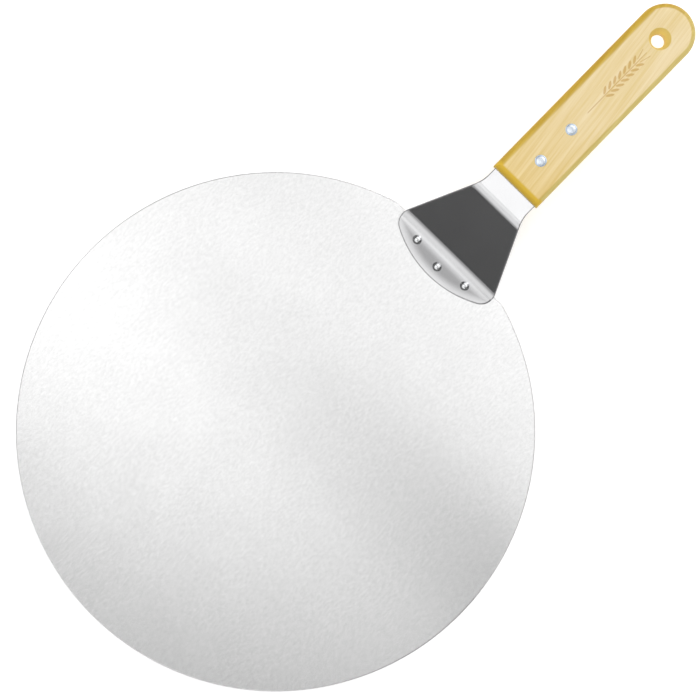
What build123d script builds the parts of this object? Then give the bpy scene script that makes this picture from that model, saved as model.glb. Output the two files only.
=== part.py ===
from build123d import *
import math
import os

# A round pizza peel: a thin stainless disc on a bent stainless neck bracket, whose tang is riveted into a
# one-piece wooden handle. The origin is the centre of the blade's underside, +X runs along the handle, and
# +Z is up, away from the table that the blade lies on. Sizes are in millimetres and angles in degrees.

# --- Blade: a disc with one straight cut across its rim, under the bracket's lower bend
BLADE_DIAMETER = 254.0
BLADE_THICKNESS = 1.0
BLADE_CUT_PAST_FOOT = 5.7
BLADE_CUT_CORNER_RADIUS = 6.0
BLADE_EDGE_RADIUS = 0.35

# --- Neck bracket: one strip of sheet, from the foot on the blade up the slope to the tang in the handle
SHEET_THICKNESS = 1.5
SHEET_EDGE_RADIUS = 0.3
FOOT_WIDTH = 60.6
FOOT_BOW = 8.9
FOOT_FLANK = 6.2
FOOT_SIDE_RADIUS = 7.0
FOOT_HEEL_RADIUS = 4.5
LOWER_BEND_FROM_CUT = 0.8
LOWER_BEND_RADIUS = 7.0
SLOPE_ANGLE = 40.0
HANDLE_RISE = 27.5
UPPER_BEND_RADIUS = 5.0
TAPER_PAST_UPPER_BEND = 3.5
NECK_CURVE_RADIUS = 20.0
NECK_LENGTH = 12.0
TANG_PAST_REAR_RIVET = 12.0
TANG_CORNER_RADIUS = 3.0

# --- Blade rivets: three steel rivets with domed heads on the foot and tails peened flush under the blade
BLADE_RIVET_NAMES = ("blade_rivet_left", "blade_rivet_centre", "blade_rivet_right")
BLADE_RIVET_SHANK = 3.0
BLADE_RIVET_HEAD = 4.6
BLADE_RIVET_HEAD_HEIGHT = 1.5
BLADE_RIVET_TAIL = 4.2
BLADE_RIVET_EDGE_DISTANCE = 6.0
BLADE_RIVET_PITCH = 16.2
HEAD_TO_BEND_GAP = 0.3

# --- Handle: a flat wooden bar with a round end, a saw kerf for the tang and a hole to hang it by
HANDLE_LENGTH = 117.5
HANDLE_WIDTH = 29.0
HANDLE_THICKNESS = 18.0
HANDLE_EDGE_RADIUS = 3.2
TANG_SIDE_GAP = 1.2
KERF_END_GAP = 2.0
HANG_HOLE_DIAMETER = 6.8
HANG_HOLE_MOUTH = 11.8
HANG_HOLE_MOUTH_DEPTH = 4.3
HANG_HOLE_FROM_TIP = 19.3

# --- Handle rivets: two aluminium rivets right through the wood and the tang, headed on both faces
HANDLE_RIVET_NAMES = ("handle_rivet_front", "handle_rivet_rear")
HANDLE_RIVET_SHANK = 4.0
HANDLE_RIVET_SEAT = 6.2
HANDLE_RIVET_SEAT_DEPTH = 1.1
HANDLE_RIVET_RIM_DROP = 0.25
HANDLE_RIVET_BUTTON = 4.4
HANDLE_RIVET_BUTTON_RISE = 0.1
HANDLE_RIVET_CROWN = 0.25
FRONT_RIVET_FROM_END = 17.2
HANDLE_RIVET_PITCH = 21.0

# --- Places along X that follow from the sizes above, from the blade's cut to the handle's tip
blade_radius = BLADE_DIAMETER / 2
cut_y = FOOT_WIDTH / 2 + BLADE_CUT_PAST_FOOT
cut_x = math.sqrt(blade_radius**2 - cut_y**2)
half_slope = math.tan(math.radians(SLOPE_ANGLE / 2))
lower_bend_x = cut_x - LOWER_BEND_FROM_CUT
upper_bend_x = lower_bend_x + HANDLE_RISE / math.tan(math.radians(SLOPE_ANGLE))
handle_front_x = upper_bend_x + NECK_LENGTH
handle_tip_x = handle_front_x + HANDLE_LENGTH
hang_hole_x = handle_tip_x - HANG_HOLE_FROM_TIP
front_rivet_x = handle_front_x + FRONT_RIVET_FROM_END
handle_rivet_places = [(front_rivet_x + n * HANDLE_RIVET_PITCH, 0) for n in range(len(HANDLE_RIVET_NAMES))]
tang_end_x = handle_rivet_places[-1][0] + TANG_PAST_REAR_RIVET
kerf_end_x = tang_end_x + KERF_END_GAP

# --- The foot is set out from the lower bend forwards, so that the outermost rivet heads clear the bend
level_foot_end_x = lower_bend_x - (LOWER_BEND_RADIUS + SHEET_THICKNESS / 2) * half_slope
foot_front_radius = ((FOOT_WIDTH / 2) ** 2 + FOOT_BOW**2) / (2 * FOOT_BOW)
rivet_row_radius = foot_front_radius - BLADE_RIVET_EDGE_DISTANCE
middle_rivet = (len(BLADE_RIVET_NAMES) - 1) / 2
outer_rivet_y = middle_rivet * BLADE_RIVET_PITCH
outer_rivet_x = level_foot_end_x - HEAD_TO_BEND_GAP - BLADE_RIVET_HEAD / 2
foot_arc_x = outer_rivet_x + math.sqrt(rivet_row_radius**2 - outer_rivet_y**2)
foot_front_x = foot_arc_x - foot_front_radius
foot_side_x = foot_front_x + FOOT_BOW
foot_heel_x = foot_side_x + FOOT_FLANK

# --- Heights and widths that follow
foot_z = BLADE_THICKNESS + SHEET_THICKNESS / 2
foot_top_z = BLADE_THICKNESS + SHEET_THICKNESS
tang_z = foot_z + HANDLE_RISE
handle_top_z = tang_z + HANDLE_THICKNESS / 2
neck_width = HANDLE_WIDTH - 2 * TANG_SIDE_GAP


def blade_rivet_places():
    """The rivets stand on an arc inside the foot's front edge, the middle one on the axis."""
    places = []
    for number in range(len(BLADE_RIVET_NAMES)):
        y = (middle_rivet - number) * BLADE_RIVET_PITCH
        places.append((foot_arc_x - math.sqrt(rivet_row_radius**2 - y**2), y))
    return places


def rounded(face, corners):
    """The face with a fillet at each (x, y, radius) corner."""
    for x, y, radius in corners:
        corner = face.vertices().sort_by_distance((x, y))[0]
        face = fillet(corner, radius)
    return face


def turned(*lines):
    """The solid that a half section, drawn as radius and height, sweeps in one turn about the Z axis."""
    return revolve(Plane.XZ * make_face(lines), Axis.Z)


def both_ends(half):
    """A turned piece that is the same above and below the tang's middle plane."""
    return half + mirror(half, about=Plane.XY.offset(tang_z))


def make_blade():
    rim = ThreePointArc((cut_x, cut_y), (-blade_radius, 0), (cut_x, -cut_y))
    cut = Line((cut_x, -cut_y), (cut_x, cut_y))
    corners = [(cut_x, side * cut_y, BLADE_CUT_CORNER_RADIUS) for side in (1, -1)]
    plate = extrude(rounded(make_face([rim, cut]), corners), BLADE_THICKNESS)
    plate = fillet(plate.edges().filter_by(Plane.XY), BLADE_EDGE_RADIUS)
    shank, tail = BLADE_RIVET_SHANK / 2, BLADE_RIVET_TAIL / 2
    section = Polyline(
        (0, 0), (tail, 0), (shank, tail - shank), (shank, BLADE_THICKNESS), (0, BLADE_THICKNESS), close=True
    )
    hole = turned(section)
    for x, y in blade_rivet_places():
        plate -= Pos(x, y) * hole
    return plate


def bracket_strip():
    """The sheet seen from the side: level foot, slope and level tang, with round bends."""
    half = SHEET_THICKNESS / 2
    shift = half * half_slope
    lower_under = (lower_bend_x + shift, foot_z - half)
    lower_top = (lower_bend_x - shift, foot_z + half)
    upper_under = (upper_bend_x + shift, tang_z - half)
    upper_top = (upper_bend_x - shift, tang_z + half)
    underside = [(foot_front_x, foot_z - half), lower_under, upper_under, (tang_end_x, tang_z - half)]
    top = [(tang_end_x, tang_z + half), upper_top, lower_top, (foot_front_x, foot_z + half)]
    bends = [
        (*lower_top, LOWER_BEND_RADIUS),
        (*lower_under, LOWER_BEND_RADIUS + SHEET_THICKNESS),
        (*upper_under, UPPER_BEND_RADIUS),
        (*upper_top, UPPER_BEND_RADIUS + SHEET_THICKNESS),
    ]
    side = rounded(make_face(Polyline(*underside, *top, close=True)), bends)
    return extrude(Plane.XZ * side, FOOT_WIDTH / 2, both=True)


def bracket_outline():
    """The bracket seen from above: a D-shaped foot, straight tapers, and a neck as wide as the tang."""
    foot_y = FOOT_WIDTH / 2
    neck_y = neck_width / 2
    taper_end_x = upper_bend_x + TAPER_PAST_UPPER_BEND
    front = ThreePointArc((foot_side_x, foot_y), (foot_front_x, 0), (foot_side_x, -foot_y))
    edge = [(foot_side_x, foot_y), (foot_heel_x, foot_y), (taper_end_x, neck_y), (tang_end_x, neck_y)]
    mirrored = [(x, -y) for x, y in reversed(edge)]
    radii = (FOOT_SIDE_RADIUS, FOOT_HEEL_RADIUS, NECK_CURVE_RADIUS, TANG_CORNER_RADIUS)
    corners = [(x, side * y, radius) for (x, y), radius in zip(edge, radii) for side in (1, -1)]
    return rounded(make_face([front, Polyline(*edge, *mirrored)]), corners)


def make_neck_bracket():
    bracket = bracket_strip() & extrude(bracket_outline(), handle_top_z)
    long_edges = bracket.edges().filter_by(lambda edge: edge.length > 2 * SHEET_THICKNESS)
    bracket = fillet(long_edges, SHEET_EDGE_RADIUS)
    for x, y in blade_rivet_places():
        bracket -= Pos(x, y, foot_z) * Cylinder(BLADE_RIVET_SHANK / 2, 2 * SHEET_THICKNESS)
    for x, y in handle_rivet_places:
        bracket -= Pos(x, y, tang_z) * Cylinder(HANDLE_RIVET_SHANK / 2, 2 * SHEET_THICKNESS)
    return bracket


def make_blade_rivet():
    shank, head, tail = BLADE_RIVET_SHANK / 2, BLADE_RIVET_HEAD / 2, BLADE_RIVET_TAIL / 2
    crown_z = foot_top_z + BLADE_RIVET_HEAD_HEIGHT
    dome = TangentArc((0, crown_z), (head, foot_top_z), tangent=(1, 0))
    below = Polyline((head, foot_top_z), (shank, foot_top_z), (shank, tail - shank), (tail, 0), (0, 0))
    return turned(dome, below, Line((0, 0), (0, crown_z)))


def make_handle():
    side_y = HANDLE_WIDTH / 2
    round_x = handle_tip_x - side_y
    tip = ThreePointArc((round_x, -side_y), (handle_tip_x, 0), (round_x, side_y))
    sides = Polyline(
        (round_x, side_y), (handle_front_x, side_y), (handle_front_x, -side_y), (round_x, -side_y)
    )
    bar = Pos(0, 0, handle_top_z - HANDLE_THICKNESS) * extrude(make_face([tip, sides]), HANDLE_THICKNESS)
    bar = fillet(bar.edges().filter_by(Plane.XY), HANDLE_EDGE_RADIUS)
    kerf_length = kerf_end_x - handle_front_x
    kerf = Box(kerf_length, HANDLE_WIDTH, SHEET_THICKNESS)
    bar -= Pos(handle_front_x + kerf_length / 2, 0, tang_z) * kerf
    hang_hole = countersunk_hole(HANG_HOLE_DIAMETER, HANG_HOLE_MOUTH, HANG_HOLE_MOUTH_DEPTH)
    bar -= Pos(hang_hole_x, 0) * hang_hole
    rivet_hole = countersunk_hole(HANDLE_RIVET_SHANK, HANDLE_RIVET_SEAT, HANDLE_RIVET_SEAT_DEPTH)
    for x, y in handle_rivet_places:
        bar -= Pos(x, y) * rivet_hole
    return bar


def countersunk_hole(diameter, mouth, mouth_depth):
    """A cutter for a hole right through the handle, opened out to a conical mouth on both faces."""
    wall_top_z = handle_top_z - mouth_depth
    section = Polyline(
        (0, tang_z),
        (diameter / 2, tang_z),
        (diameter / 2, wall_top_z),
        (mouth / 2, handle_top_z),
        (0, handle_top_z),
        close=True,
    )
    return both_ends(turned(section))


def make_handle_rivet():
    """The cone under each head fills its seat in the wood, and a low button stands on the head."""
    shank, seat, button = HANDLE_RIVET_SHANK / 2, HANDLE_RIVET_SEAT / 2, HANDLE_RIVET_BUTTON / 2
    button_z = handle_top_z + HANDLE_RIVET_BUTTON_RISE
    crown_z = button_z + HANDLE_RIVET_CROWN
    rim = seat - HANDLE_RIVET_RIM_DROP * (seat - shank) / HANDLE_RIVET_SEAT_DEPTH
    below = Polyline(
        (button, button_z),
        (rim, handle_top_z - HANDLE_RIVET_RIM_DROP),
        (shank, handle_top_z - HANDLE_RIVET_SEAT_DEPTH),
        (shank, tang_z),
        (0, tang_z),
    )
    crown = TangentArc((0, crown_z), (button, button_z), tangent=(1, 0))
    return both_ends(turned(crown, below, Line((0, tang_z), (0, crown_z))))


nodes = {"blade": make_blade(), "neck_bracket": make_neck_bracket(), "handle": make_handle()}
for name, (x, y) in zip(BLADE_RIVET_NAMES, blade_rivet_places()):
    nodes[name] = Pos(x, y) * make_blade_rivet()
for name, (x, y) in zip(HANDLE_RIVET_NAMES, handle_rivet_places):
    nodes[name] = Pos(x, y) * make_handle_rivet()

os.makedirs("parts", exist_ok=True)
for name, solid in nodes.items():
    export_step(solid, f"parts/{name}.step")
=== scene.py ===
import math

import bmesh
import bpy
import numpy as np
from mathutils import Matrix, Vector
from mathutils.geometry import delaunay_2d_cdt


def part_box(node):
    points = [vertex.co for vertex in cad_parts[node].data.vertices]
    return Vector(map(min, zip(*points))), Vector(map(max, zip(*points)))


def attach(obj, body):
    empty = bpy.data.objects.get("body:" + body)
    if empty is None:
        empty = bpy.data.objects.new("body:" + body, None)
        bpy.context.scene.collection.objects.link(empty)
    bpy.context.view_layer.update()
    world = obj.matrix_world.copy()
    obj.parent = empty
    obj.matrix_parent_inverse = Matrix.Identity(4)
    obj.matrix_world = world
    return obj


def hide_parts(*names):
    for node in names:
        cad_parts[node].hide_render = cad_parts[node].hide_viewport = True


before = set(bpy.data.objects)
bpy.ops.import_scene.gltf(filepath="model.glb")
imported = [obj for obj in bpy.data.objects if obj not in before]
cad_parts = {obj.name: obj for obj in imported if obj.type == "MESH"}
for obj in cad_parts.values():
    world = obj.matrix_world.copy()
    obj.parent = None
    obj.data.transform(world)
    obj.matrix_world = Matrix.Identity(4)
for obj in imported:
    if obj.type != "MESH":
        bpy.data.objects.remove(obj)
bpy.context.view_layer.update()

# A round pizza peel: brushed stainless blade, bent stainless neck bracket, wooden handle and five rivets.
# Lengths in this file are millimetres until a mesh, a light or the camera is made, and then metres.
MM = 0.001
STEPS_PER_TURN = 96
BEND_ROWS = 0.3


# --- Sizes taken from the frame

def size_of(node):
    low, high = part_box(node)
    return low / MM, high / MM


blade_low, blade_high = size_of("blade")
bracket_low, bracket_high = size_of("neck_bracket")
handle_low, handle_high = size_of("handle")

BLADE_RADIUS = blade_high.y
BLADE_THICKNESS = blade_high.z - blade_low.z
CUT_X = blade_high.x
HANDLE_THICKNESS = handle_high.z - handle_low.z
HANDLE_MIDDLE_Z = (handle_high.z + handle_low.z) / 2
HALF_HANDLE = handle_high.y
SHEET_THICKNESS = 2 * (bracket_high.z - HANDLE_MIDDLE_Z)
FOOT_Z = BLADE_THICKNESS + SHEET_THICKNESS / 2
HALF_FOOT = bracket_high.y

# --- Sizes that the frame's boxes do not give
BLADE_EDGE = 0.45
BLADE_CUT_CORNER = 6.0
SHEET_EDGE = 0.5
FOOT_BOW = 8.9
FOOT_RADIUS = (HALF_FOOT**2 + FOOT_BOW**2) / (2 * FOOT_BOW)
FOOT_FLANK = 6.2
FOOT_SIDE_RADIUS = 7.0
FOOT_HEEL_RADIUS = 4.5
FOOT_DROOP = 0.1
FOOT_DROOP_START = 113.0
LOWER_BEND_FROM_CUT = 0.8
LOWER_BEND_RADIUS = 9.5
UPPER_BEND_RADIUS = 5.0
SLOPE = math.radians(40.0)
TAPER_PAST_UPPER_BEND = 3.5
NECK_CURVE_RADIUS = 20.0
TANG_SIDE_GAP = 1.2
TANG_CORNER = 3.0
KERF_END_GAP = 2.0
BLADE_RIVET_SHANK = 1.5
BLADE_RIVET_TAIL = 2.1
HANDLE_EDGE = 3.2
HANDLE_RIVET_SHANK = 2.0
HANDLE_RIVET_SEAT = 3.1
HANDLE_RIVET_SEAT_DEPTH = 1.1
HANG_HOLE = 3.4
HANG_HOLE_MOUTH = 5.3
HANG_HOLE_MOUTH_SHIFT = 0.9
HANG_HOLE_MOUTH_DEPTH = 4.3
HANG_HOLE_FROM_TIP = 19.3
HANDLE_CREASE = 12.0

# --- The finish and painted shade: the mark on the handle, its gold bands of painted edge shade, and the painted dark reflection on the foot
MARK_START = 215.0
EAR_START = 225.0
GRAINS = 7
MARK_END = 256.0
GRAIN_PITCH = 3.4
GRAIN_LEAN = math.radians(7.0)
WARM_END = 215.0
FRONT_SHADE_BAND = 3.5
LEFT_SHADE_BAND = 3.4
RIGHT_SHADE_BAND = 2.4
TIP_SHADE_BAND = 2.3
REFLECTION_SHADE_FROM_EDGE = 5.5
REFLECTION_SHADE_END = 114.5
REFLECTION_SHADE_LEVEL = 0.52

BLADE_RIVETS = ("blade_rivet_left", "blade_rivet_centre", "blade_rivet_right")
HANDLE_RIVETS = ("handle_rivet_front", "handle_rivet_rear")


def middle_of(node):
    low, high = size_of(node)
    return (low.x + high.x) / 2, (low.y + high.y) / 2


# --- Camera: straight above, two metres up, turned so that the handle points up to the right
CAMERA_HEIGHT = 2.0
CAMERA_X = 0.05403
CAMERA_Y = 0.00195
HANDLE_DIRECTION = math.radians(45.6176)
FIELD = 0.34235
SENSOR = 36.0


def make_camera():
    lens = bpy.data.cameras.new("camera")
    lens.sensor_width = SENSOR
    lens.lens = SENSOR * CAMERA_HEIGHT / FIELD
    lens.clip_end = 50.0
    camera = bpy.data.objects.new("camera", lens)
    camera.location = (CAMERA_X, CAMERA_Y, CAMERA_HEIGHT + BLADE_THICKNESS * MM)
    camera.rotation_euler = (0, 0, -HANDLE_DIRECTION)
    bpy.context.scene.collection.objects.link(camera)
    bpy.context.scene.camera = camera


make_camera()


# --- Node and colour helpers

def linear(code):
    """The linear RGBA of an sRGB hex colour."""
    channels = [int(code[i:i + 2], 16) / 255 for i in (1, 3, 5)]
    return tuple(c / 12.92 if c <= 0.04045 else ((c + 0.055) / 1.055) ** 2.4 for c in channels) + (1.0,)


def add(tree, kind, inputs=None, **settings):
    """Adds a node with its settings; an input is a value to set or another node's output to link."""
    node = tree.nodes.new(kind)
    for name, value in settings.items():
        setattr(node, name, value)
    for name, value in (inputs or {}).items():
        if isinstance(value, bpy.types.NodeSocket):
            tree.links.new(value, node.inputs[name])
        else:
            node.inputs[name].default_value = value
    return node


def arithmetic(tree):
    """Gives a function that does one sum on shader values, such as ADD or SQRT."""
    def calc(operation, *values):
        return add(tree, "ShaderNodeMath", dict(enumerate(values)), operation=operation).outputs[0]

    return calc


def distance_of(calc, x, y):
    """How far the point x, y is from the origin."""
    return calc("SQRT", calc("ADD", calc("MULTIPLY", x, x), calc("MULTIPLY", y, y)))


def between(tree, value, low, high, ends=(0.0, 1.0), soft=False):
    """A value's way from low to high, held at either end, and set out between two other numbers."""
    settings = {"interpolation_type": "SMOOTHSTEP"} if soft else {}
    span = {"Value": value, "From Min": low, "From Max": high, "To Min": ends[0], "To Max": ends[1]}
    return add(tree, "ShaderNodeMapRange", span, **settings).outputs[0]


def noise(tree, place, along, across, detail, roughness=0.5):
    """Noise whose cells are so many millimetres along the handle and across it."""
    scale = (1 / (along * MM), 1 / (across * MM), 1 / (across * MM))
    cells = add(tree, "ShaderNodeVectorMath", {0: place, 1: scale}, operation="MULTIPLY").outputs[0]
    settings = {"Vector": cells, "Scale": 1.0, "Detail": detail, "Roughness": roughness}
    return add(tree, "ShaderNodeTexNoise", settings).outputs[0]


def new_material(name):
    material = bpy.data.materials.new(name)
    material.use_nodes = True
    tree = material.node_tree
    tree.nodes.clear()
    return material, tree


# --- Mesh helpers

def arc(centre, radius, start, end, steps):
    angles = np.linspace(start, end, steps + 1)
    return [(centre[0] + radius * math.cos(a), centre[1] + radius * math.sin(a)) for a in angles]


def circle(centre, radius, steps):
    return arc(centre, radius, 0, 2 * math.pi, steps)[:-1]


def soft_corner(before, corner, after, radius, steps=8):
    """The points of a fillet that replaces one corner of an outline."""
    a = (Vector(before) - Vector(corner)).normalized()
    b = (Vector(after) - Vector(corner)).normalized()
    half = a.angle(b) / 2
    middle = Vector(corner) + (a + b).normalized() * radius / math.sin(half)
    start = Vector(corner) + a * radius / math.tan(half) - middle
    end = Vector(corner) + b * radius / math.tan(half) - middle
    turn = start.angle_signed(end)
    first = math.atan2(start.y, start.x)
    return arc(middle, radius, first, first - turn, steps)


def dense(points, spacing):
    """The closed outline with its long straight runs divided."""
    out = []
    for p, q in zip(points, points[1:] + points[:1]):
        count = max(1, round(math.dist(p, q) / spacing))
        out += [(p[0] + (q[0] - p[0]) * k / count, p[1] + (q[1] - p[1]) * k / count) for k in range(count)]
    return out


def outward(loop):
    """For each point of a closed loop, drawn anticlockwise, the mitred outward offset of one unit."""
    loop = np.asarray(loop)
    edges = np.roll(loop, -1, 0) - loop
    edges /= np.linalg.norm(edges, axis=1)[:, None]
    normals = np.stack([edges[:, 1], -edges[:, 0]], 1)
    previous = np.roll(normals, 1, 0)
    both = normals + previous
    return both / (1 + (normals * previous).sum(1))[:, None]


def inside(points, loop):
    x, y = points[:, 0], points[:, 1]
    hit = np.zeros(len(points), bool)
    for (x0, y0), (x1, y1) in zip(loop, np.roll(loop, -1, 0)):
        if y0 != y1:
            hit ^= ((y0 > y) != (y1 > y)) & (x < (x1 - x0) * (y - y0) / (y1 - y0) + x0)
    return hit


def filled(bm, outline, circles, spacing, height, up, bends=()):
    """Fills an outline, less its circles, with a net of triangles at one height, finer within each bend."""
    loops = [np.asarray(outline)] + [np.asarray(c) for c in circles]
    low, high = loops[0].min(0), loops[0].max(0)
    rows = np.arange(low[1], high[1], spacing * 0.866)
    columns = np.arange(low[0], high[0], spacing)
    grid = [(x + (i % 2) * spacing / 2, y) for i, y in enumerate(rows) for x in columns]
    for start, end in bends:
        grid = [p for p in grid if not start - spacing < p[0] < end + spacing]
        places = np.arange(low[1], high[1], spacing)
        grid += [(x, y) for x in np.arange(start, end, BEND_ROWS) for y in places]
    grid = np.array(grid)
    edge_points = np.concatenate(loops)
    keep = inside(grid, loops[0])
    for circle in loops[1:]:
        keep &= ~inside(grid, circle)
    grid = grid[keep]
    near = np.array([np.hypot(*(edge_points - p).T).min() for p in grid])
    grid = grid[near > spacing * 0.4]
    points, edges = [], []
    for loop in loops:
        first = len(points)
        points += [Vector(p) for p in loop]
        edges += [(first + i, first + (i + 1) % len(loop)) for i in range(len(loop))]
    points += [Vector(p) for p in grid]
    made, _, triangles, _, _, _ = delaunay_2d_cdt(points, edges, [], 1, 1e-5)
    middles = np.array([sum((made[i] for i in t), Vector((0, 0))) / 3 for t in triangles])
    keep = inside(middles, loops[0])
    for circle in loops[1:]:
        keep &= ~inside(middles, circle)
    verts = [bm.verts.new((p.x, p.y, height)) for p in made]
    for t, ok in zip(triangles, keep):
        if ok:
            bm.faces.new([verts[i] for i in (t if up else reversed(t))])


def wall(bm, rings):
    """Joins closed rings of (x, y, height) points, each to the next."""
    made = [[bm.verts.new(p) for p in ring] for ring in rings]
    for upper, lower in zip(made, made[1:]):
        for i in range(len(upper)):
            j = (i + 1) % len(upper)
            bm.faces.new((upper[i], lower[i], lower[j], upper[j]))


def finish_piece(name, bm, place, node, material, sharp=40.0):
    """Puts a piece built in plan into place, with its plan as its UV map, and ties it to the frame."""
    bmesh.ops.remove_doubles(bm, verts=bm.verts[:], dist=1e-4)
    bmesh.ops.dissolve_degenerate(bm, edges=bm.edges[:], dist=1e-5)
    bmesh.ops.recalc_face_normals(bm, faces=bm.faces[:])
    plan = bm.loops.layers.uv.new("plan")
    for face in bm.faces:
        face.smooth = True
        for loop in face.loops:
            loop[plan].uv = (loop.vert.co.x / 100, loop.vert.co.y / 100)
    for vert in bm.verts:
        vert.co = Vector(place(*vert.co)) * MM
    mesh = bpy.data.meshes.new(name)
    bm.to_mesh(mesh)
    bm.free()
    mesh.set_sharp_from_angle(angle=math.radians(sharp))
    piece = bpy.data.objects.new(name, mesh)
    bpy.context.scene.collection.objects.link(piece)
    piece.data.materials.append(material)
    weights = piece.modifiers.new("even_shading", "WEIGHTED_NORMAL")
    weights.keep_sharp = True
    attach(piece, "root")
    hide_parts(node)
    return piece


def plate(bm, outline, holes, thickness, edge, spacing, steps=5, bends=()):
    """A flat plate in plan with rounded edges. A hole is a centre and its rings from top to bottom: radius,
    height, and how far the ring sits from the centre along the handle."""
    outline = np.array(outline)
    out = outward(outline)
    profile = [(edge * 1.15, thickness / 2)]
    for angle in np.linspace(math.pi / 2, 0, steps + 1):
        profile.append((edge * (1 - math.cos(angle)), thickness / 2 - edge * (1 - math.sin(angle))))
    profile += [(inset, -height) for inset, height in reversed(profile)]
    rings = [[(*p, height) for p in outline - out * inset] for inset, height in profile]
    wall(bm, rings)
    tops, bottoms = [], []
    for centre, sizes in holes:
        circles = [circle((centre[0] + shift, centre[1]), radius, 64) for radius, _, shift in sizes]
        wall(bm, [[(*p, height) for p in c] for c, (_, height, _) in zip(circles, sizes)])
        tops.append(circles[0])
        bottoms.append(circles[-1])
    filled(bm, outline - out * edge * 1.15, tops, spacing, thickness / 2, True, bends)
    filled(bm, outline - out * edge * 1.15, bottoms, spacing, -thickness / 2, False, bends)


def turned(name, node, centre, profile, material):
    """A piece turned about the vertical line through a centre, from (radius, height) pairs, top to bottom."""
    bm = bmesh.new()
    rings = [[(*p, z) for p in circle(centre, r, STEPS_PER_TURN)] for r, z in profile if r > 0]
    wall(bm, rings)
    for ring, (_, z) in ((rings[0], profile[0]), (rings[-1], profile[-1])):
        pole = bm.verts.new((*centre, z))
        rim = [bm.verts.new(p) for p in ring]
        for a, b in zip(rim, rim[1:] + rim[:1]):
            bm.faces.new((pole, a, b))
    return finish_piece(name, bm, lambda x, y, z: (x, y, z), node, material)


# --- Materials

def foot_reflection_shade(tree, place):
    """How much of its shine the foot keeps: a painted dark reflection, darker between its front edge and the
    lower bend."""
    calc = arithmetic(tree)
    spot = add(tree, "ShaderNodeSeparateXYZ", {0: place})
    x = calc("DIVIDE", spot.outputs[0], MM)
    y = calc("DIVIDE", spot.outputs[1], MM)
    reach = calc("SUBTRACT", x, bracket_low.x + FOOT_RADIUS)
    inward = calc("SUBTRACT", FOOT_RADIUS, distance_of(calc, reach, y))
    front = between(tree, inward, 0.5, REFLECTION_SHADE_FROM_EDGE, (1.0, 0.0), soft=True)
    rear = between(tree, x, REFLECTION_SHADE_END, REFLECTION_SHADE_END + 4.5, soft=True)
    return between(tree, calc("MAXIMUM", front, rear), 0.0, 1.0, (REFLECTION_SHADE_LEVEL, 1.0))


def brushed_steel(name, colour, roughness, anisotropy, scratch, mottle, dark_foot_reflection=False):
    """Stainless sheet brushed along the handle: a soft sheen that spreads across the scratches, and rounded
    edges painted a shade darker as painted shade."""
    material, tree = new_material(name)
    calc = arithmetic(tree)
    place = add(tree, "ShaderNodeTexCoord")
    here = place.outputs["Object"]
    # Real brushing is ten times finer. It is drawn as coarse as shows from two metres away.
    scratches = noise(tree, here, 16.67, 0.4545, 3.0, 0.6)
    mottling = noise(tree, here, 2.222, 1.25, 3.0, 0.7)
    patches = noise(tree, here, 22.22, 22.22, 4.0)
    facing = add(tree, "ShaderNodeSeparateXYZ", {0: place.outputs["Normal"]})
    # Painted shade: faces tilted more than about 45 degrees, the rounded edges, are painted darker.
    painted_edge_shade = between(tree, calc("ABSOLUTE", facing.outputs[2]), 0.6, 0.72, (0.35, 1.0))
    tint = calc("MULTIPLY", between(tree, mottling, 0.3, 0.7, (1.0 - mottle, 1.0 + mottle)), painted_edge_shade)
    # The foot gets a painted dark reflection: its colour is darkened behind its front edge.
    if dark_foot_reflection:
        tint = calc("MULTIPLY", tint, foot_reflection_shade(tree, here))
    colour = add(tree, "ShaderNodeVectorMath", {0: linear(colour)[:3], "Scale": tint}, operation="SCALE")
    rough = between(tree, patches, 0.3, 0.7, (roughness - 0.01, roughness + 0.01))
    lines = add(tree, "ShaderNodeBump", {"Height": scratches, "Strength": 1.0, "Distance": scratch * MM})
    tangent = add(tree, "ShaderNodeTangent", direction_type="UV_MAP", uv_map="plan")
    metal = add(tree, "ShaderNodeBsdfPrincipled", {
        "Base Color": colour.outputs[0], "Metallic": 1.0, "Roughness": rough,
        "Anisotropic": anisotropy, "Anisotropic Rotation": 0.25,
        "Normal": lines.outputs[0], "Tangent": tangent.outputs[0]})
    add(tree, "ShaderNodeOutputMaterial", {"Surface": metal.outputs[0]})
    return material


def set_rivet(name, colour, roughness, dent_width, dent_depth, detail):
    """Metal set with a hammer or a snap: small shallow dents break up the highlight a little."""
    material, tree = new_material(name)
    place = add(tree, "ShaderNodeTexCoord")
    dents = noise(tree, place.outputs["Object"], dent_width, dent_width, detail)
    bump = add(tree, "ShaderNodeBump", {"Height": dents, "Distance": dent_depth * MM})
    metal = add(tree, "ShaderNodeBsdfPrincipled", {
        "Base Color": linear(colour), "Metallic": 1.0, "Roughness": roughness, "Normal": bump.outputs[0]})
    add(tree, "ShaderNodeOutputMaterial", {"Surface": metal.outputs[0]})
    return material


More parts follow.
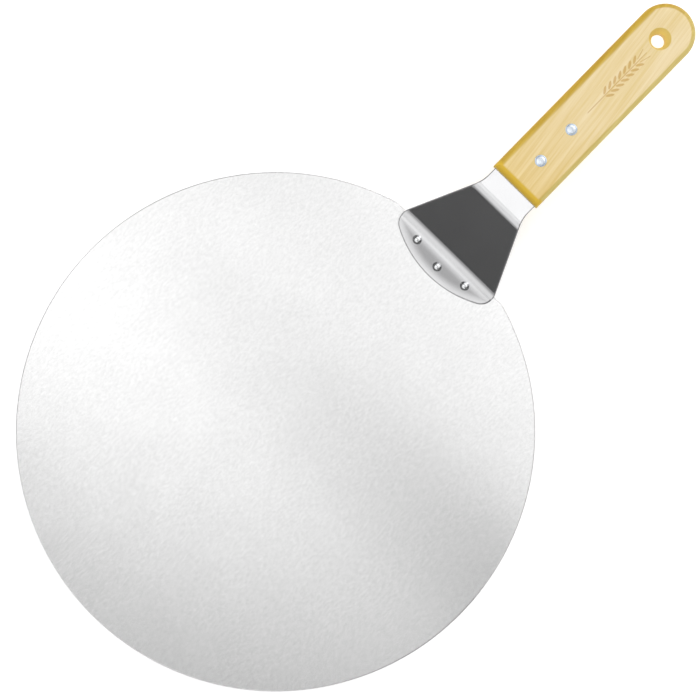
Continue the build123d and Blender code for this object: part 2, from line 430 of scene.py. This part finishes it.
def wheat_ear(tree, x, y):
    """A mask, 1 inside a small wheat ear along the handle: a stalk with pairs of grains, and whiskers."""
    calc = arithmetic(tree)

    def within(value, low, high, soft):
        rise = calc("SMOOTH_MIN", calc("DIVIDE", calc("SUBTRACT", value, low), soft), 1.0, 0.01)
        fall = calc("SMOOTH_MIN", calc("DIVIDE", calc("SUBTRACT", high, value), soft), 1.0, 0.01)
        return calc("MAXIMUM", calc("MINIMUM", rise, fall), 0.0)

    side = calc("ABSOLUTE", y)
    stalk = calc("MULTIPLY", within(x, MARK_START, MARK_END - 3.0, 0.4), within(side, -1.0, 0.3, 0.2))
    # Grains: a row of ellipses that repeats along the stalk and leans forward as it leaves it.
    shift = calc("SUBTRACT", x, calc("MULTIPLY", side, 1.15))
    place = calc("DIVIDE", calc("SUBTRACT", shift, EAR_START), GRAIN_PITCH)
    turn = calc("SUBTRACT", calc("FRACT", place), 0.5)
    across = calc("DIVIDE", calc("MULTIPLY", turn, GRAIN_PITCH), 1.15)
    along = calc("DIVIDE", calc("SUBTRACT", side, 1.75), 1.45)
    radius = distance_of(calc, across, along)
    ear = within(shift, EAR_START, EAR_START + GRAINS * GRAIN_PITCH, 0.01)
    grains = calc("MULTIPLY", within(radius, -1.0, 1.0, 0.25), ear)
    # Whiskers: a fan of three thin lines at the tip.
    fan = calc("MULTIPLY", calc("SUBTRACT", x, MARK_END - 9.0), 0.28)
    line = calc("MINIMUM", side, calc("ABSOLUTE", calc("SUBTRACT", side, fan)))
    whiskers = calc("MULTIPLY", within(line, -1.0, 0.22, 0.15), within(x, MARK_END - 6.0, MARK_END, 0.5))
    return calc("MAXIMUM", calc("MAXIMUM", stalk, grains), whiskers)


def lacquered_wood():
    """Pale hardwood under a satin lacquer. Fine streaks lean a few degrees off the handle. The rounded edges
    are painted a deeper gold as painted shade, paler on the side that faces the lamps and deeper on the
    other."""
    material, tree = new_material("lacquered_wood")
    calc = arithmetic(tree)
    place = add(tree, "ShaderNodeTexCoord")
    lean = add(tree, "ShaderNodeVectorRotate", {"Vector": place.outputs["Object"], "Angle": -GRAIN_LEAN},
               rotation_type="Z_AXIS").outputs[0]

    def blend(fac, a, b):
        mix = add(tree, "ShaderNodeMix", {"Factor": fac}, data_type="RGBA")
        for socket, value in ((mix.inputs[6], a), (mix.inputs[7], b)):
            if isinstance(value, bpy.types.NodeSocket):
                tree.links.new(value, socket)
            else:
                socket.default_value = value
        return mix.outputs[2]

    growth = calc("MULTIPLY", noise(tree, lean, 111.1, 6.25, 3.0), 0.35)
    grain = calc("MULTIPLY", noise(tree, lean, 45.45, 1.613, 3.0), 0.4)
    fibres = calc("MULTIPLY", noise(tree, lean, 14.29, 0.5263, 2.0), 0.25)
    tone = between(tree, calc("ADD", growth, calc("ADD", grain, fibres)), 0.38, 0.62)
    spot = add(tree, "ShaderNodeSeparateXYZ", {0: place.outputs["Object"]})
    x = calc("DIVIDE", spot.outputs[0], MM)
    y = calc("DIVIDE", spot.outputs[1], MM)
    facing = add(tree, "ShaderNodeSeparateXYZ", {0: place.outputs["Normal"]})
    pale = blend(tone, linear("#E9CF90"), linear("#F6E2B8"))
    warm = blend(tone, linear("#E4C47A"), linear("#F2D99E"))
    face = blend(between(tree, x, WARM_END, handle_low.x), pale, warm)
    # Painted light and shade on the edges: a lit gold where they face -y, a shaded gold where they face +y.
    lit_edge_gold = blend(tone, linear("#D3BB69"), linear("#E5D187"))
    shaded_edge_gold = blend(tone, linear("#C39A30"), linear("#D8B345"))
    edge = blend(between(tree, facing.outputs[1], -0.6, 0.5), lit_edge_gold, shaded_edge_gold)
    from_front = calc("SUBTRACT", x, handle_low.x)
    # The front end's rounding is painted one mid gold as part of the painted edge shade.
    edge = blend(between(tree, from_front, 4.5, 3.0), edge, linear("#E1BA3E"))
    # How far in from each side of the handle, counted in widths of that side's band of painted edge shade.
    past_centre = calc("MAXIMUM", calc("SUBTRACT", x, handle_high.x - HALF_HANDLE), 0.0)
    inward = calc("DIVIDE", calc("SUBTRACT", HALF_HANDLE, distance_of(calc, past_centre, y)), TIP_SHADE_BAND)
    for distance, width in ((calc("SUBTRACT", HALF_HANDLE, y), LEFT_SHADE_BAND),
                            (calc("ADD", y, HALF_HANDLE), RIGHT_SHADE_BAND), (from_front, FRONT_SHADE_BAND)):
        inward = calc("MINIMUM", inward, calc("DIVIDE", distance, width))
    colour = blend(between(tree, inward, 0.75, 1.1, soft=True), edge, face)
    # The countersunk mouth of the hanging hole is painted a lighter gold: painted light on a cone that faces
    # away from the lamps.
    hole_x = calc("SUBTRACT", x, handle_high.x - HANG_HOLE_FROM_TIP)
    tilted = between(tree, calc("ABSOLUTE", facing.outputs[2]), 0.98, 0.9)
    mouth = calc("MULTIPLY", tilted, calc("LESS_THAN", distance_of(calc, hole_x, y), 7.5))
    colour = blend(mouth, colour, linear("#F6DD85"))
    mark = calc("MULTIPLY", wheat_ear(tree, x, y), calc("GREATER_THAN", facing.outputs[2], 0.9))
    colour = blend(calc("MULTIPLY", mark, 0.6), colour, linear("#C9973F"))
    pores = add(tree, "ShaderNodeBump", {
        "Height": calc("SUBTRACT", calc("MULTIPLY", grain, 1.25), mark), "Distance": 0.08 * MM})
    wood = add(tree, "ShaderNodeBsdfPrincipled", {
        "Base Color": colour, "Roughness": 0.5, "Specular IOR Level": 0.2, "Coat Weight": 0.05,
        "Coat Roughness": 0.25, "Normal": pores.outputs[0]})
    add(tree, "ShaderNodeOutputMaterial", {"Surface": wood.outputs[0]})
    return material


blade_steel = brushed_steel("blade_steel", "#DFDFDF", 0.25, 1.0, 0.0010, 0.055)
bracket_steel = brushed_steel("bracket_steel", "#C0C0C1", 0.17, 0.6, 0.0015, 0.015, dark_foot_reflection=True)
# Bright steel heads mirror the lamps. The aluminium is pale, slightly blue and duller.
rivet_steel = set_rivet("polished_steel", "#D9DADB", 0.1, 1.429, 0.01, 1.0)
rivet_aluminium = set_rivet("dull_aluminium", "#DDE5EE", 0.35, 1.111, 0.03, 2.0)
handle_wood = lacquered_wood()


# --- Blade

def make_blade():
    # The corner between the rim and the cut: a small circle that touches both.
    inner = BLADE_RADIUS - BLADE_CUT_CORNER
    corner_x = CUT_X - BLADE_CUT_CORNER
    corner_y = math.sqrt(inner**2 - corner_x**2)
    touch = math.atan2(corner_y, corner_x)
    outline = arc((0, 0), BLADE_RADIUS, touch, 2 * math.pi - touch, 400)
    outline += arc((corner_x, -corner_y), BLADE_CUT_CORNER, -touch, 0, 8)[1:]
    outline += arc((corner_x, corner_y), BLADE_CUT_CORNER, 0, touch, 8)[:-1]
    outline = dense(outline, 2.0)
    half = BLADE_THICKNESS / 2
    tail_depth = BLADE_RIVET_TAIL - BLADE_RIVET_SHANK
    profile = [(BLADE_RIVET_SHANK, half, 0), (BLADE_RIVET_SHANK, tail_depth - half, 0)]
    profile.append((BLADE_RIVET_TAIL, -half, 0))
    holes = [(middle_of(node), profile) for node in BLADE_RIVETS]
    bm = bmesh.new()
    plate(bm, outline, holes, BLADE_THICKNESS, BLADE_EDGE, 3.0)
    finish_piece("blade_sheet", bm, lambda x, y, h: (x, y, half + h), "blade", blade_steel)


# --- Neck bracket

lower_bend_x = CUT_X - LOWER_BEND_FROM_CUT
upper_bend_x = lower_bend_x + (HANDLE_MIDDLE_Z - FOOT_Z) / math.tan(SLOPE)
LOWER_ARC = LOWER_BEND_RADIUS + SHEET_THICKNESS / 2
UPPER_ARC = UPPER_BEND_RADIUS + SHEET_THICKNESS / 2
lower_start_x = lower_bend_x - LOWER_ARC * math.tan(SLOPE / 2)
upper_end_x = upper_bend_x + UPPER_ARC * math.tan(SLOPE / 2)


def on_bracket(x, y, h):
    """Follows the middle of the bent sheet: level foot, lower bend, slope, upper bend, level tang."""
    if x < lower_start_x:
        # The press rolls the front of the foot down a little, so its edge bites the blade.
        toward_front = max(0.0, (FOOT_DROOP_START - x) / (FOOT_DROOP_START - bracket_low.x))
        angle, z = 0.0, FOOT_Z - FOOT_DROOP * toward_front**2
    elif x < lower_start_x + LOWER_ARC * math.sin(SLOPE):
        angle = math.asin((x - lower_start_x) / LOWER_ARC)
        z = FOOT_Z + LOWER_ARC * (1 - math.cos(angle))
    elif x < upper_end_x - UPPER_ARC * math.sin(SLOPE):
        angle = SLOPE
        z = FOOT_Z + (x - lower_bend_x) * math.tan(SLOPE)
    elif x < upper_end_x:
        angle = math.asin((upper_end_x - x) / UPPER_ARC)
        z = HANDLE_MIDDLE_Z - UPPER_ARC * (1 - math.cos(angle))
    else:
        angle, z = 0.0, HANDLE_MIDDLE_Z
    return x - h * math.sin(angle), y, z + h * math.cos(angle)


def make_neck_bracket():
    arc_x = bracket_low.x + FOOT_RADIUS
    heel_x = bracket_low.x + FOOT_BOW + FOOT_FLANK
    neck_y = HALF_HANDLE - TANG_SIDE_GAP
    side_y = HALF_FOOT - FOOT_SIDE_RADIUS
    side_x = arc_x - math.sqrt((FOOT_RADIUS - FOOT_SIDE_RADIUS) ** 2 - side_y**2)
    touch = math.atan2(side_y, side_x - arc_x)
    front = arc((arc_x, 0), FOOT_RADIUS, math.pi, touch, 24)
    side = arc((side_x, side_y), FOOT_SIDE_RADIUS, touch, math.pi / 2, 10)
    heel = (heel_x, HALF_FOOT)
    waist = (upper_bend_x + TAPER_PAST_UPPER_BEND, neck_y)
    end = (bracket_high.x, neck_y)
    half = front + side[1:]
    half += soft_corner(side[-1], heel, waist, FOOT_HEEL_RADIUS)
    half += soft_corner(heel, waist, end, NECK_CURVE_RADIUS, 14)
    half += soft_corner(waist, end, (end[0], 0), TANG_CORNER)
    outline = half + [(x, -y) for x, y in reversed(half[1:])]
    outline = dense(outline[::-1], 0.6)
    half = SHEET_THICKNESS / 2
    shanks = [(node, BLADE_RIVET_SHANK) for node in BLADE_RIVETS]
    shanks += [(node, HANDLE_RIVET_SHANK) for node in HANDLE_RIVETS]
    holes = [(middle_of(node), [(shank, half, 0), (shank, -half, 0)]) for node, shank in shanks]
    bm = bmesh.new()
    bends = [(lower_start_x - 0.5, lower_start_x + LOWER_ARC * math.sin(SLOPE) + 0.5),
             (upper_end_x - UPPER_ARC * math.sin(SLOPE) - 0.5, upper_end_x + 0.5)]
    plate(bm, outline, holes, SHEET_THICKNESS, SHEET_EDGE, 1.2, bends=bends)
    finish_piece("neck_bracket_sheet", bm, on_bracket, "neck_bracket", bracket_steel)


# --- Rivets

def make_blade_rivet(node):
    low, high = size_of(node)
    head = (high.x - low.x) / 2
    head_z = BLADE_THICKNESS + SHEET_THICKNESS
    rise = high.z - head_z
    dome = (head**2 + rise**2) / (2 * rise)
    half_angle = math.asin(head / dome)
    angles = np.linspace(0, half_angle, 20)
    profile = [(dome * math.sin(a), high.z - dome * (1 - math.cos(a))) for a in angles]
    profile += [(BLADE_RIVET_SHANK, head_z), (BLADE_RIVET_SHANK, BLADE_RIVET_TAIL - BLADE_RIVET_SHANK)]
    profile += [(BLADE_RIVET_TAIL, low.z), (1.2, low.z + 0.02), (0.5, low.z + 0.08), (0, low.z + 0.1)]
    turned(node + "_turned", node, middle_of(node), profile, rivet_steel)


def make_handle_rivet(node):
    low, high = size_of(node)
    top = handle_high.z
    button, rim = 2.25, (high.x - low.x) / 2
    # A low button, a groove that the setting tool left round it, and a thin rim pressed into the wood.
    foot = top - 0.05
    upper = [(button * math.sin(a), foot + (high.z - foot) * math.cos(a)) for a in np.linspace(0, 1.45, 12)]
    upper += [(button + 0.1, top - 0.35), (rim - 0.35, top - 0.45)]
    upper += [(rim - 0.15, top - 0.05), (rim, top - 0.1)]
    upper += [(HANDLE_RIVET_SHANK, top - HANDLE_RIVET_SEAT_DEPTH)]
    lower = [(r, 2 * HANDLE_MIDDLE_Z - z) for r, z in reversed(upper)]
    turned(node + "_turned", node, middle_of(node), upper + lower, rivet_aluminium)


# --- Handle

def make_handle():
    front_x, tip_x = handle_low.x, handle_high.x
    round_x = tip_x - HALF_HANDLE
    outline = arc((round_x, 0), HALF_HANDLE, -math.pi / 2, math.pi / 2, 48)
    outline += [(front_x, HALF_HANDLE), (front_x, -HALF_HANDLE)]
    # The rounding meets itself in a mitre at the two front corners, so no points lie close beside them.
    corners = outline[-2:]
    outline = [p for p in dense(outline, 1.5) if p in corners or min(math.dist(p, c) for c in corners) > 4.0]
    half = HANDLE_THICKNESS / 2
    seat = [(HANDLE_RIVET_SEAT + 0.5, half, 0), (HANDLE_RIVET_SEAT, half, 0)]
    seat += [(HANDLE_RIVET_SHANK, half - HANDLE_RIVET_SEAT_DEPTH, 0)]
    seat += [(r, -h, 0) for r, h, _ in reversed(seat)]
    # The mouth's lip is broken with a narrow bevel, and its cone ends on the straight hole.
    lip = ((0.9, 0.0), (0.4, 0.0), (0.15, 0.06), (0.0, 0.2))
    mouth = [(HANG_HOLE_MOUTH + wider, half - depth, HANG_HOLE_MOUTH_SHIFT) for wider, depth in lip]
    cone = ((0.15, -0.1), (0.0, 0.2))
    mouth += [(HANG_HOLE + wider, half - HANG_HOLE_MOUTH_DEPTH - depth, 0) for wider, depth in cone]
    mouth += [(r, -h, shift) for r, h, shift in reversed(mouth)]
    holes = [(middle_of(node), seat) for node in HANDLE_RIVETS]
    holes.append(((tip_x - HANG_HOLE_FROM_TIP, 0), mouth))
    bm = bmesh.new()
    plate(bm, outline, holes, HANDLE_THICKNESS, HANDLE_EDGE, 2.0, steps=10)
    handle = finish_piece("handle_wood", bm, lambda x, y, h: (x, y, HANDLE_MIDDLE_Z + h), "handle",
                          handle_wood, sharp=HANDLE_CREASE)
    cut_kerf(handle)


def cut_kerf(handle):
    """Saws the slot that the tang sits in: open at the front end and along both sides."""
    end_x = bracket_high.x + KERF_END_GAP
    bm = bmesh.new()
    bmesh.ops.create_cube(bm, size=1.0)
    for vert in bm.verts:
        x = end_x if vert.co.x > 0 else handle_low.x - 5.0
        vert.co = Vector((x, vert.co.y * 3 * HALF_HANDLE, HANDLE_MIDDLE_Z + vert.co.z * SHEET_THICKNESS)) * MM
    blade = bpy.data.meshes.new("saw")
    bm.to_mesh(blade)
    bm.free()
    saw = bpy.data.objects.new("saw", blade)
    bpy.context.scene.collection.objects.link(saw)
    cut = handle.modifiers.new("kerf", "BOOLEAN")
    cut.operation, cut.object, cut.solver = "DIFFERENCE", saw, "EXACT"
    handle.modifiers.move(1, 0)
    bpy.context.view_layer.update()
    graph = bpy.context.evaluated_depsgraph_get()
    sawn = bpy.data.meshes.new_from_object(handle.evaluated_get(graph))
    handle.modifiers.clear()
    handle.data = sawn
    sawn.set_sharp_from_angle(angle=math.radians(HANDLE_CREASE))
    handle.modifiers.new("even_shading", "WEIGHTED_NORMAL").keep_sharp = True
    bpy.data.objects.remove(saw)


make_blade()
make_neck_bracket()
for rivet in BLADE_RIVETS:
    make_blade_rivet(rivet)
for rivet in HANDLE_RIVETS:
    make_handle_rivet(rivet)
make_handle()


# --- Studio

def softbox(name, centre, size, radiance, aim=None):
    """A flat rectangular lamp that faces straight down or toward a point. The camera does not see it, but the
    steel reflects it."""
    lamp = bpy.data.lights.new(name, "AREA")
    lamp.shape, lamp.size, lamp.size_y = "RECTANGLE", *size
    lamp.energy = radiance * math.pi * size[0] * size[1]
    holder = bpy.data.objects.new(name, lamp)
    holder.location = centre
    direction = Vector(aim or (centre[0], centre[1], 0.0)) - Vector(centre)
    holder.rotation_euler = direction.to_track_quat("-Z", "Y").to_euler()
    holder.visible_camera = False
    bpy.context.scene.collection.objects.link(holder)


def make_floor():
    mesh = bpy.data.meshes.new("floor")
    reach = 6.0
    bm = bmesh.new()
    bmesh.ops.create_grid(bm, x_segments=8, y_segments=8, size=reach)
    bm.to_mesh(mesh)
    bm.free()
    floor = bpy.data.objects.new("floor", mesh)
    bpy.context.scene.collection.objects.link(floor)
    floor.location.z = -0.0002
    material, tree = new_material("white_table")
    paint = add(tree, "ShaderNodeBsdfPrincipled", {
        "Base Color": linear("#F4F4F4"), "Roughness": 0.9, "Emission Color": linear("#FFFFFF"),
        "Emission Strength": 0.42})
    add(tree, "ShaderNodeOutputMaterial", {"Surface": paint.outputs[0]})
    mesh.materials.append(material)


def make_world():
    world = bpy.data.worlds.new("studio")
    world.use_nodes = True
    tree = world.node_tree
    tree.nodes.clear()
    seen = add(tree, "ShaderNodeLightPath")
    dim = add(tree, "ShaderNodeBackground", {"Color": linear("#646464"), "Strength": 1.0})
    pale = add(tree, "ShaderNodeBackground", {"Color": linear("#F2F2F2"), "Strength": 1.0})
    both = add(tree, "ShaderNodeMixShader", {
        0: seen.outputs["Is Camera Ray"], 1: dim.outputs[0], 2: pale.outputs[0]})
    add(tree, "ShaderNodeOutputWorld", {"Surface": both.outputs[0]})
    bpy.context.scene.world = world


make_floor()
make_world()
CEILING = 0.85
LAMP_LENGTH = 0.04
CEILING_START, CEILING_END = -0.35, 0.25
# Rows of lamps hang over the handle's line. Each row is a band of y, with how bright it burns at a few places
# along x and evenly in between. The left rows burn over the whole blade and the right rows mostly over the
# neck, so the blade shades off to its right. The middle row makes the white streak on each bend.
LAMP_ROWS = (
    ((-1.10, -0.40), ((0.03, 0.0), (0.08, 1.2), (0.11, 1.35), (0.18, 1.35), (0.25, 0.9))),
    ((-0.40, -0.15), ((-0.16, 0.0), (-0.05, 0.35), (0.0, 0.0), (0.03, 0.0), (0.09, 1.3), (0.25, 1.5))),
    ((-0.15, -0.07), ((-0.22, 0.0), (-0.06, 0.95), (0.0, 0.4), (0.03, 0.4), (0.06, 0.75), (0.09, 0.95),
                      (0.14, 1.1), (0.20, 2.0))),
    ((-0.07, 0.07), ((-0.35, 1.6), (0.09, 1.65), (0.11, 1.3), (0.15, 1.25), (0.19, 2.0), (0.25, 2.0))),
    ((0.07, 0.15), ((-0.22, 0.35), (-0.06, 1.5), (0.0, 1.15), (0.06, 1.25), (0.12, 0.95), (0.20, 2.0))),
    ((0.15, 0.40), ((-0.25, 0.45), (-0.14, 1.6), (-0.05, 1.85), (0.01, 1.55), (0.05, 1.5), (0.11, 1.0),
                    (0.20, 1.4))),
    ((0.40, 1.10), ((-0.30, 0.65), (-0.14, 1.6), (-0.05, 1.75), (0.05, 1.55), (0.11, 1.0), (0.22, 0.8))),
)


def make_ceiling():
    """Hangs the rows: equal lamps along x, each as bright as its row is over the lamp's middle."""
    for i in range(round((CEILING_END - CEILING_START) / LAMP_LENGTH)):
        x = CEILING_START + (i + 0.5) * LAMP_LENGTH
        for (y0, y1), places in LAMP_ROWS:
            radiance = float(np.interp(x, *zip(*places)))
            centre = (x, (y0 + y1) / 2, CEILING)
            if radiance > 0:
                softbox("lamp", centre, (LAMP_LENGTH, y1 - y0), radiance)


make_ceiling()
softbox("horizon_left", (-1.90, 0.0, CEILING), (1.20, 2.2), 0.5)
softbox("low_left", (-1.10, 0.0, CEILING), (0.40, 2.2), 0.9)
softbox("far_left", (-0.625, 0.0, CEILING), (0.55, 2.2), 1.2)
softbox("far_right", (0.825, 0.0, CEILING), (0.75, 2.2), 1.4)
softbox("tip_fill", (1.7, 0.0, 1.2), (0.9, 1.2), 2.5, aim=(0.05, 0.0, 0.0))

bpy.context.scene.view_settings.view_transform = "Standard"
